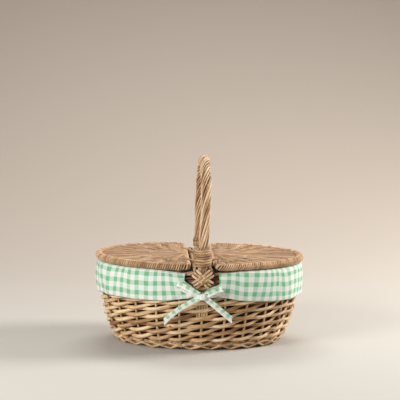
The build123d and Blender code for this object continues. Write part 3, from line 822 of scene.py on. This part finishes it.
def build_lid_rim(lid, side):
    body = f"{lid}_lid"
    middle = lid_outline(BORDER_WIDTH / 2, 900, side)
    middle[:, 2] = HINGE_Z + lid_lift(middle)
    # The rim's core is dark willow: painted shade in the gaps between the wraps.
    rods = Rods(10)
    rods.add(middle[::3], (2.6 + 1.8 * past_hinge(middle[::3])) * MM, closed=True, tone=0.1)
    rods.build(f"{lid}_rim_core", CORE_WILLOW_PAINTED_SHADE, "lid_willow", f"{lid}_lid_bow", body=body)

    length = np.linalg.norm(np.roll(middle, -1, axis=0) - middle, axis=1).sum()
    turns = int(length / (4.1 * MM))
    per_turn = 16
    count = turns * per_turn
    path = resample(middle, count, closed=True)
    t = tangents(path, closed=True)
    out = unit(np.cross(t, np.array([0, 0, 1.0])))
    up = np.cross(out, t)
    slant = TAU * np.arange(count) / per_turn * side
    pulse = np.repeat(rng.normal(size=turns) * 0.34, per_turn)
    at_loop = np.abs(np.abs(path[:, 1]) - HINGE_LOOP_Y) < HINGE_LOOP_REACH
    near_loop = at_loop & (np.abs(path[:, 0]) < HINGE_X + 1 * MM)
    rounded = past_hinge(path)
    reach = np.where(near_loop, 2.6, 3.9 + 1.4 * rounded + pulse * rounded) * MM
    size = np.where(near_loop, 0.9, 1.05 + 0.37 * rounded)
    lead = 2.6 * MM * np.sin(slant) * side
    wound = np.cos(slant)[:, None] * out + np.sin(slant)[:, None] * up
    points = path + reach[:, None] * wound + lead[:, None] * t
    wraps = Rods(6)
    tone_by_turn = 0.78 + 0.5 * (rng.random(turns) - 0.5)
    for k in range(turns):
        index = (np.arange(k * per_turn, (k + 1) * per_turn + 2)) % count
        wraps.add(points[index], size[index] * MM, guide=t[index], tone=tone_by_turn[k])
    wraps.build(f"{lid}_rim_wraps", WRAP_WILLOW, "lid_willow", f"{lid}_lid_border", body=body)


def fan_point(angle, scale, side, z):
    """Point of the lid's fan, lifted: a direction from its straight side, at a share of the reach."""
    straight = HINGE_X + 2.5 * MM
    length = LID_LENGTH - BORDER_WIDTH * 0.72
    depth = LID_DEPTH - BORDER_WIDTH * 0.72
    x = straight + (length - straight) * np.cos(angle) * scale
    y = depth * np.sin(angle) * scale
    edge = depth * np.sqrt(share_of(1 - (x / length) ** 2))
    y = np.clip(y, -edge, edge)
    point = xyz(side * x, y, z)
    point[..., 2] += lid_lift(point)
    return point


def build_lid_panel(lid, side):
    """Fine rods fanned from the hinge side in three overlapping zones, above and below a few ribs."""
    body = f"{lid}_lid"
    ribs = Rods(8)
    for angle in np.radians([-80, -60, -40, -20, 0, 20, 40, 60, 80]):
        rib = fan_point(angle, np.linspace(0.06, 0.97, 20), side, HINGE_Z)
        ribs.add(rib, 2.0 * MM)
    ribs.build(f"{lid}_panel_ribs", STAKE_WILLOW, "lid_willow", f"{lid}_lid_ribs", body=body)

    for face, direction in (("top", 1), ("under", -1)):
        fan = Rods(6)
        for zone, (start, end, count, size, bow, bundle_count) in enumerate(FAN_ZONES):
            for k in range(count):
                lean = (k + 0.5) / count * math.pi - math.pi / 2
                s = np.linspace(start, end, 16)
                arch = np.sin(math.pi * (s - start) / (end - start))
                bend = arch * bow
                angle = lean + bend * math.sin(lean) * (1 - 2 * (zone == 1)) + wander(16, 8, 0.007)
                angle = np.clip(angle, -math.pi / 2 + 0.01, math.pi / 2 - 0.01)
                bundles = np.cos(bundle_count * angle + zone * 0.7 + 1.5 * s)
                height = FAN_HEIGHT - zone * 0.3 + 0.16 * rng.normal() + 0.75 * bundles
                height = height + 1.0 * arch
                height = height - 2.0 * share_of((s - 0.9) / 0.1)
                strand = fan_point(angle, s, side, HINGE_Z + direction * height * MM)
                if direction < 0:
                    strand[:, 0] += side * UNDER_FAN_SHIFT
                # The sine part of each rod's tone paints broad light and dark streaks across the fan as
                # painted shade; the random part is the rod's own tone.
                shade = 0.5 + 0.22 * math.sin(lean * 23 + zone) + 0.16 * rng.normal()
                fan.add(strand, size * MM, flat=0.55, tone=shade)
        fan.build(f"{lid}_panel_fan_{face}", LID_WILLOW, "lid_willow", f"{lid}_lid_weave_{face}", body=body)

    hoops = Rods(8)
    for scale in HOOPS:
        lean = np.linspace(-math.pi / 2 + 0.02, math.pi / 2 - 0.02, 90)
        for strand in range(2):
            twist = TAU * lean / 0.5 + math.pi * strand
            height = HINGE_Z + (4.0 + 0.7 * np.sin(twist)) * MM
            hoop = fan_point(lean, scale + 0.006 * np.cos(twist), side, height)
            hoops.add(hoop, 1.25 * MM)
    hoops.build(f"{lid}_panel_hoops", LID_WILLOW, "lid_willow", f"{lid}_lid_hoops", body=body)

    rod = Rods(10)
    low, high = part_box(f"{lid}_hinge_rod")
    y = np.linspace(low.y, high.y, 40)
    rod.add(xyz(side * HINGE_X, y, HINGE_Z), 3.3 * MM)
    rod.build(f"{lid}_hinge_stick", STAKE_WILLOW, "lid_willow", f"{lid}_hinge_rod", body=body)


# ---- cloth ----
THICK_CLOTH = 0.7 * MM
THIN_CLOTH = 0.5 * MM


def cloth_piece(name, points, cloth, material, nodes=(), thickness=THICK_CLOTH):
    """A grid of points as a sheet of cloth, cloth giving each point's place in the weave."""
    rows, columns = points.shape[:2]
    flat_place = np.concatenate([cloth, np.zeros((rows, columns, 1))], axis=-1).reshape(-1, 3)
    faces = [grid_faces(rows, columns)]
    piece = make_mesh(name, points.reshape(-1, 3), faces, material, {"cloth": flat_place}, "basket")
    solid = piece.modifiers.new("cloth thickness", "SOLIDIFY")
    solid.thickness = thickness
    solid.offset = 0
    if nodes:
        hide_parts(*nodes)
    return piece


def folds(along, down, seed, strength):
    """Soft folds that run down the cloth and drift sideways."""
    local = np.random.default_rng(seed)
    total = np.zeros_like(along)
    for wavelength, share in ((0.021, 0.35), (0.034, 0.6), (0.057, 0.8), (0.093, 1.0)):
        phase = local.random() * TAU
        drift = local.normal() * 0.35
        size = share * (0.6 + 0.4 * np.sin(along / (wavelength * 2.7) + local.random() * TAU))
        total = total + size * np.sin(TAU * (along + drift * down) / wavelength + phase)
    return total * strength / 1.6


# The cuff's section as (out from the wall's top, height) in millimetres, from inside the border to the hem.
CUFF_TURN = [
    (-13.6, 140.0), (-13.2, 147.0), (-10.5, 151.6), (-4.0, 152.9), (0.6, 152.4), (3.6, 149.4), (5.2, 143.0)
]
CUFF_FALL = [(5.8, 136.0), (5.8, 126.0), (4.9, 116.0), (3.8, 108.0), (2.9, 103.5)]
CUFF_HEM = [(2.0, 102.8), (1.4, 104.4)]


def cuff_edge(height, side):
    """Half width of the opening under the handle, at a height in millimetres."""
    if side < 0:
        return np.interp(height, [102, 111, 116, 137, 154], [3.0, 5.0, 7.5, 33.0, 32.0])
    return np.interp(height, [102, 111, 116, 130, 154], [3.0, 5.0, 7.5, 29.5, 29.0])


def build_cuff(label, side):
    """Cloth turned over the border from the inside, from bow to bow, with soft folds down to its hem."""
    section = smooth_through(np.array(CUFF_TURN + CUFF_FALL + CUFF_HEM), 46)
    drop = lengths_along(section)
    out, level = section[:, 0:1], section[:, 1:2]
    half_round = PERIMETER / 2
    share = np.linspace(0, 1, 420)
    edge = cuff_edge(level, side) * MM
    back_edge = cuff_edge(level, 1) * MM
    back_edge = back_edge + 9 * MM * share_of((level - 130) / 10)
    along = edge + (half_round - back_edge - edge) * share[None, :]
    down = np.broadcast_to(drop[:, None] * MM, along.shape)
    outside = share_of((out - 3.0) / 2.0)
    over = share_of((out + 2) / 3)
    falling = share_of((144.0 - level) / 40.0) * over
    strength = 0.25 + 1.3 * falling
    at_end = np.exp(-(((along - half_round / 2) / (85 * MM)) ** 2))
    ripple = folds(along, down, 40 + side, 1.0) * strength * (1 + 0.9 * at_end)
    from_bow = np.minimum(along, half_round - along)
    near = np.exp(-((from_bow / (42 * MM)) ** 2))
    drawn_up = np.exp(-((from_bow / (50 * MM)) ** 2))
    longer = 1.17 if side < 0 else 1.06 + 0.21 * share_of((from_bow - 30 * MM) / (120 * MM))
    crease = along - (152 if side > 0 else 236) * MM - 0.25 * (level - 128) * MM
    ripple = ripple - 2.2 * np.exp(-((crease / (5 * MM)) ** 2)) * falling
    drawn = np.sin(TAU * (along / MM * 0.5 + level * 0.9) / 17.0) * near * falling * 2.0
    outward = out + ripple + drawn + 2.6 * near * falling
    height = level - np.clip(140 - level, 0, None) * (longer - 1) * over
    height = height + 10.0 * drawn_up * share_of((136 - level) / 30) * over
    dip = np.exp(-(((from_bow - 30 * MM) / (34 * MM)) ** 2))
    height = height - 4.5 * dip * share_of((level - 140) / 10)
    height = height + 0.5 * outside * np.sin(TAU * along / 0.047 + side)
    angle = angle_at(side * along)
    points = oval_point(angle, outward * MM, height * MM)
    hem_up = (drop[-1] - drop)[:, None] * MM * longer - 2.6 * MM - 3.0 * MM * drawn_up * outside
    slant = 0.10 * np.sin(TAU * along / 0.21 + 1.0 + side) + 0.07 * np.sin(TAU * along / 0.083 + 2.0 * side)
    waver = 0.8 * MM * np.sin(TAU * along / 0.083 + side) + 0.3 * MM * np.sin(TAU * along / 0.031)
    thread = along if side > 0 else 0.965 * along + 11.2 * MM
    cloth = np.stack([side * thread + slant * hem_up, hem_up + waver * outside], axis=-1)
    piece = cloth_piece(f"cuff_cloth_{label}", points, cloth, CLOTH, [f"cuff_{label}"])


def build_liner():
    """Side band of the lining, a dark sheet behind it that paints shade into the gaps of the wall weave, and
    the lining's floor.
    """
    top = LINER_BOX[1].z / MM
    low = LINER_BOX[0].z / MM + 1.0
    rows = 34
    columns = 480
    z = np.linspace(top + 1, low, rows)
    inset = np.interp(z, PROFILE_Z, PROFILE_INSET) + 14.6
    drop = np.concatenate([[0], np.cumsum(np.hypot(np.diff(z), np.diff(inset)))])
    along = np.linspace(0, PERIMETER, columns)[None, :] + np.zeros((rows, 1))
    down = drop[:, None] * MM + 0 * along
    ripple = folds(along, down, 77, 1.2) * share_of(drop / 30)[:, None]
    ripple[:, -1] = ripple[:, 0]
    angle = angle_at(np.minimum(along, PERIMETER * 0.999999))
    points = oval_point(angle, (-inset[:, None] - np.abs(ripple)) * MM, z[:, None] * MM)
    points[:, -1] = points[:, 0]
    weave = np.stack([along, -down], axis=-1)
    piece = cloth_piece("liner_side_cloth", points, weave, CLOTH, ["liner"])

    # Dark sheet just outside the lining, between it and the wall weave: painted shade seen through the
    # weave's gaps.
    shade_sheet = oval_point(angle, (-inset[:, None] - np.abs(ripple) + 1.1) * MM, z[:, None] * MM)
    shade_sheet[:, -1] = shade_sheet[:, 0]
    piece = cloth_piece("liner_painted_shade_sheet_cloth", shade_sheet, weave, PAINTED_SHADE_SHEET, thickness=THIN_CLOTH)

    rings = 14
    turn = np.linspace(0, TAU, 160)
    reach = np.linspace(0.02, 1, rings)[:, None]
    edge_x = (HALF_LENGTH / MM - inset[-1] - 0.5) * MM
    edge_y = (HALF_DEPTH / MM - inset[-1] - 0.5) * MM
    x = edge_x * reach * np.cos(turn)
    y = edge_y * reach * np.sin(turn)
    bumps = 0.5 * np.sin(x / 0.017 + 1.3) * np.sin(y / 0.023) + 0.4 * np.sin((x + y) / 0.011)
    height = (low + 0.4 + 0.6 * bumps) * MM
    points = xyz(x, y, height)
    piece = cloth_piece("liner_floor_cloth", points, np.stack([x, y], axis=-1), CLOTH)


RIBBON_WIDTH = 10.5 * MM


def ribbon_strip(name, path, widths, place, side, node):
    """Flat ribbon along a path in millimetres; widths give its half-width direction at each point."""
    count = 44
    centre = smooth_through(np.array(path, float), count) * MM
    key = np.linspace(0, 1, len(widths))
    where = np.linspace(0, 1, count)
    across = unit(np.stack([np.interp(where, key, np.array(widths, float)[:, k]) for k in range(3)], axis=-1))
    t = tangents(centre)
    across = unit(across - (across * t).sum(1, keepdims=True) * t)
    rows = 7
    v = np.linspace(-1, 1, rows)
    curl = 0.7 * MM * (1 - v**2)
    normal = np.cross(across, t)
    points = centre[None] + v[:, None, None] * across[None] * RIBBON_WIDTH / 2
    points = points + curl[:, None, None] * normal[None]
    along = lengths_along(centre)
    if node.endswith("tail"):
        points[:, -1] -= t[-1] * (v * 5.0 * MM)[:, None]
        points[:, -2] -= t[-2] * (v * 2.5 * MM)[:, None]
    points[..., 1] *= -side
    over_width = np.tile(v[:, None] * RIBBON_WIDTH / 2, (1, count))
    cloth = np.stack([np.tile(along, (rows, 1)), over_width], axis=-1)
    piece = cloth_piece(name, points, cloth, RIBBON, [f"bow_{place}_{node}"], THIN_CLOTH)


KNOT_X = -1.2
BOW_PATHS = {
    "left_loop": (
        [
            (-5, -154, 111), (-18, -159, 119), (-35, -158, 128), (-45, -154, 132),
            (-41, -150.5, 126), (-25, -151, 117), (-6, -153, 109),
        ],
        [
            (0.4, 0, 0.9), (0.5, 0, 0.85), (0.5, -0.3, 0.8), (0.45, -0.1, 0.9),
            (0.4, 0.2, 0.9), (0.4, 0, 0.9), (0.4, 0, 0.9),
        ],
        0.103,
        "folded",
    ),
    "right_loop": (
        [
            (2, -154, 110), (13, -159, 115), (26, -158.5, 121), (34, -154.5, 123),
            (30, -151, 117.5), (16, -151.5, 112), (2, -153, 108),
        ],
        [
            (-0.3, 0, 0.9), (-0.4, 0, 0.9), (-0.45, -0.3, 0.8), (-0.45, -0.1, 0.8),
            (-0.4, 0.2, 0.9), (-0.35, 0, 0.9), (-0.3, 0, 0.9),
        ],
        0.079,
        "folded",
    ),
    "left_tail": (
        [(-5, -155, 107.5), (-20, -154.8, 99), (-40, -151, 86.5), (-57.5, -146.5, 72), (-69, -143, 60)],
        [(-0.5, 0, 0.85), (-0.5, -0.1, 0.8), (-0.6, -0.2, 0.8), (-0.6, -0.1, 0.8), (-0.65, 0, 0.75)],
        0.082,
        "hung",
    ),
    "right_tail": (
        [(4, -155, 107), (16.5, -154.8, 97), (31, -152, 84.5), (43.5, -148.5, 74), (54, -145.5, 65)],
        [(0.5, 0, 0.85), (0.55, -0.1, 0.8), (0.6, -0.2, 0.8), (0.6, -0.1, 0.8), (0.65, 0, 0.75)],
        0.066,
        "hung",
    ),
}


def build_knot(place, side):
    """Ribbon drawn tight round the middle of the bow."""
    rows, columns = 22, 40
    v = np.linspace(-1, 1, rows)[:, None]
    turn = np.linspace(0, TAU, columns)[None, :]
    pinch = 1 - 0.20 * (1 - v**2)
    wide = (10.0 + 0.35 * np.cos(5 * turn)) * pinch
    deep = (4.0 + 0.35 * np.cos(7 * turn + 3 * v)) * (0.72 + 0.28 * np.sqrt(share_of(1 - v**2)))
    x = KNOT_X + wide * np.cos(turn) + 0.8 * v
    y = KNOT_BOX[0].y / MM + 4.2 + deep * np.sin(turn)
    z = 109.3 + 5.6 * v + 0.5 * np.sin(turn)
    points = xyz(x, side * -y, z + 0 * turn) * MM
    across = np.stack([turn * 7.7 * MM + 12.0 * MM + 0 * v, v * 5.6 * MM + 9.3 * MM + 0 * turn], axis=-1)
    nodes = [f"bow_{place}_knot"]
    piece = cloth_piece(f"bow_knot_{place}", points, across, RIBBON, nodes, THIN_CLOTH)


# ---- stage, light and camera ----
STAGE_FLAT = (3.7, 3.2)
STAGE_BEND = 2.3
STAGE_HEIGHT = 4.5
STAGE_MIDDLE_Y = -2.5


def build_stage():
    """Seamless pale floor that sweeps up into walls on every side."""
    columns = 120
    turn = np.linspace(0, TAU, columns)
    c, d = np.cos(turn), np.sin(turn)
    square = np.stack([np.sign(c) * np.sqrt(np.abs(c)), np.sign(d) * np.sqrt(np.abs(d))], axis=-1)
    bend = np.linspace(0, TAU / 4, 32)
    flat_x, flat_y = STAGE_FLAT
    rows = [(share * flat_x, share * flat_y, 0.0) for share in (0.0, 0.25, 0.5, 0.75)]
    for t in bend:
        out = STAGE_BEND * math.sin(t)
        rows.append((flat_x + out, flat_y + out, STAGE_BEND - STAGE_BEND * math.cos(t)))
    rows.append((flat_x + STAGE_BEND, flat_y + STAGE_BEND, STAGE_HEIGHT))
    points = [[(x * wide, STAGE_MIDDLE_Y + y * deep, z) for x, y in square] for wide, deep, z in rows]
    mesh = bpy.data.meshes.new("seamless_stage")
    faces = grid_faces(len(rows), columns)[:, ::-1].tolist()
    mesh.from_pydata(np.array(points).reshape(-1, 3).tolist(), [], faces)
    mesh.polygons.foreach_set("use_smooth", np.ones(len(mesh.polygons), bool))
    mesh.materials.append(pale_stage("pale_stage", (0.575, 0.56, 0.52), (0.53, 0.462, 0.40)))
    backdrop = bpy.data.objects.new("seamless_stage", mesh)
    bpy.context.scene.collection.objects.link(backdrop)


def area_light(name, place, target, size, power, colour):
    light = bpy.data.lights.new(name, "AREA")
    light.shape = "RECTANGLE"
    light.size, light.size_y = size
    light.energy = power
    light.color = colour
    lamp = bpy.data.objects.new(name, light)
    lamp.location = place
    lamp.rotation_euler = (Vector(target) - Vector(place)).to_track_quat("-Z", "Y").to_euler()
    bpy.context.scene.collection.objects.link(lamp)


def build_light():
    middle = (0, 0, 0.12)
    area_light("key_right", (2.0, 0.25, 1.05), middle, (0.7, 0.9), 58, (1.0, 0.98, 0.95))
    area_light("fill_left", (-1.65, -1.5, 0.95), middle, (0.9, 0.9), 44, (1.0, 0.985, 0.96))
    area_light("overhead", (0, 1.05, 2.0), middle, (1.3, 0.8), 22, (1.0, 0.99, 0.975))
    world = bpy.data.worlds.new("soft_room")
    world.use_nodes = True
    world.node_tree.nodes["Background"].inputs["Color"].default_value = (1.0, 0.95, 0.89, 1)
    world.node_tree.nodes["Background"].inputs["Strength"].default_value = 0.29
    bpy.context.scene.world = world
    bpy.context.scene.view_settings.view_transform = "Standard"


CAMERA_DISTANCE = 2.32
CAMERA_HEIGHT = 0.495
CAMERA_AZIMUTH = -2.6
CAMERA_ROLL = 1.0
CAMERA_TARGET_Z = 0.2685
CAMERA_LENS = 109.8


def build_camera():
    data = bpy.data.cameras.new("camera")
    data.lens = CAMERA_LENS
    data.sensor_width = 36
    lens = bpy.data.objects.new("camera", data)
    azimuth = math.radians(CAMERA_AZIMUTH)
    place = Vector((CAMERA_DISTANCE * math.sin(azimuth), -CAMERA_DISTANCE * math.cos(azimuth), CAMERA_HEIGHT))
    aim = Vector((-0.0013, 0, CAMERA_TARGET_Z)) - place
    turned = aim.to_track_quat("-Z", "Y").to_matrix() @ Matrix.Rotation(math.radians(CAMERA_ROLL), 3, "Z")
    lens.matrix_world = Matrix.Translation(place) @ turned.to_4x4()
    bpy.context.scene.collection.objects.link(lens)
    bpy.context.scene.camera = lens


build_camera()
build_light()
build_stage()
build_stakes()
build_wall_weave()
build_foot()
build_rim()
build_base()
build_handle()
for place, side in (("front", -1), ("back", 1)):
    build_collar(place, side)
    build_lashing(place, side)
build_centre_bar()
for lid, side in (("left", -1), ("right", 1)):
    for place in ("front", "back"):
        build_hinge_loop(lid, side, place)
    build_lid_rim(lid, side)
    build_lid_panel(lid, side)
    build_cuff(lid, side)
build_liner()
for place, side in (("front", -1), ("back", 1)):
    build_knot(place, side)
    for node, (path, widths, length, held) in BOW_PATHS.items():
        ribbon_strip(f"bow_{node}_{place}", path, widths, place, side, node)
